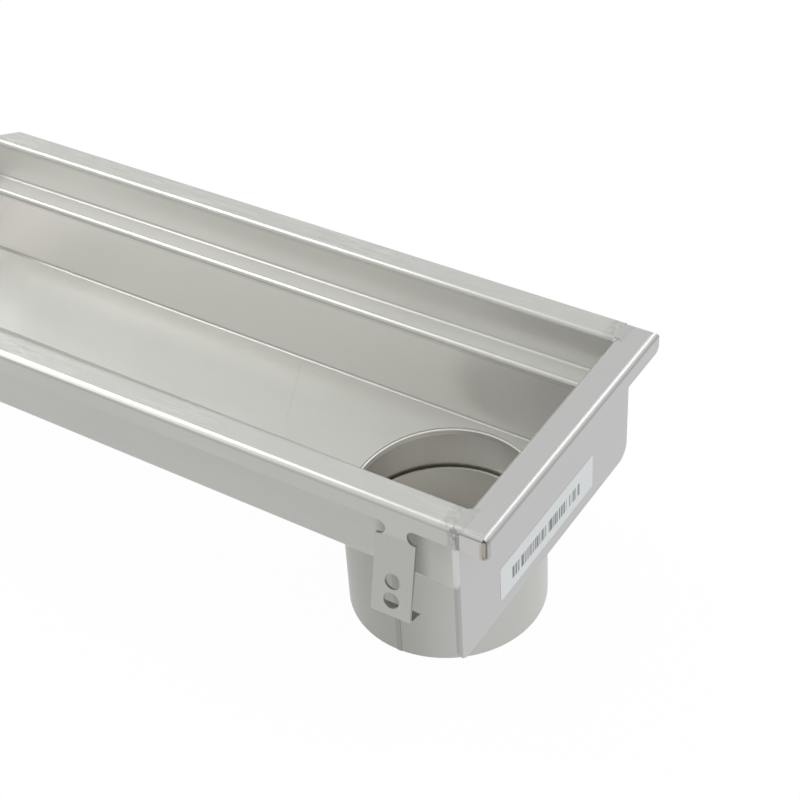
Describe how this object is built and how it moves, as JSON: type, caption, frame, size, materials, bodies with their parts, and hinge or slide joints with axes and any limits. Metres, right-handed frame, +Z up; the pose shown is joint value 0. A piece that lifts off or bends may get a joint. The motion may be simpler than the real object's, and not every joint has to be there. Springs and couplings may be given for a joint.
{
  "type": "channel drain",
  "caption": "Folded stainless channel drain with flanged rim, grate ledges, a sloping vee floor, anchor tabs and a round outlet spigot near its closed flanged end.",
  "frame": {"origin": "on the axis of the outlet spigot, level with the top of the flanges", "axes": "+X along the channel towards the outlet end, +Y across it, +Z up"},
  "size_m": [0.458, 0.1996, 0.145],
  "materials": {
    "channel_sheet": "satin sheet with lengthwise brushing on the flanges",
    "end_plate_sheet": "satin sheet, smoother than the channel",
    "spigot_tube": "satin tube",
    "ring_tube": "satin tube, darker",
    "raw_weld": "undressed weld bead",
    "dressed_weld": "weld dressed with a grinder"
  },
  "bodies": {
    "root": {"channel_body": "channel_sheet", "outlet_end_plate": "end_plate_sheet", "blank_end_plate": "end_plate_sheet", "outlet_spigot": "spigot_tube", "trap_ring": "ring_tube", "outlet_inner_weld": "dressed_weld", "outlet_outer_weld": "raw_weld", "spigot_seam_weld": "raw_weld", "end_plate_weld": "raw_weld", "blank_end_weld": "raw_weld", "flange_weld_far": "dressed_weld", "flange_weld_near": "dressed_weld", "lip_weld_far": "raw_weld", "lip_weld_near": "raw_weld"}
  },
  "joints": []
}
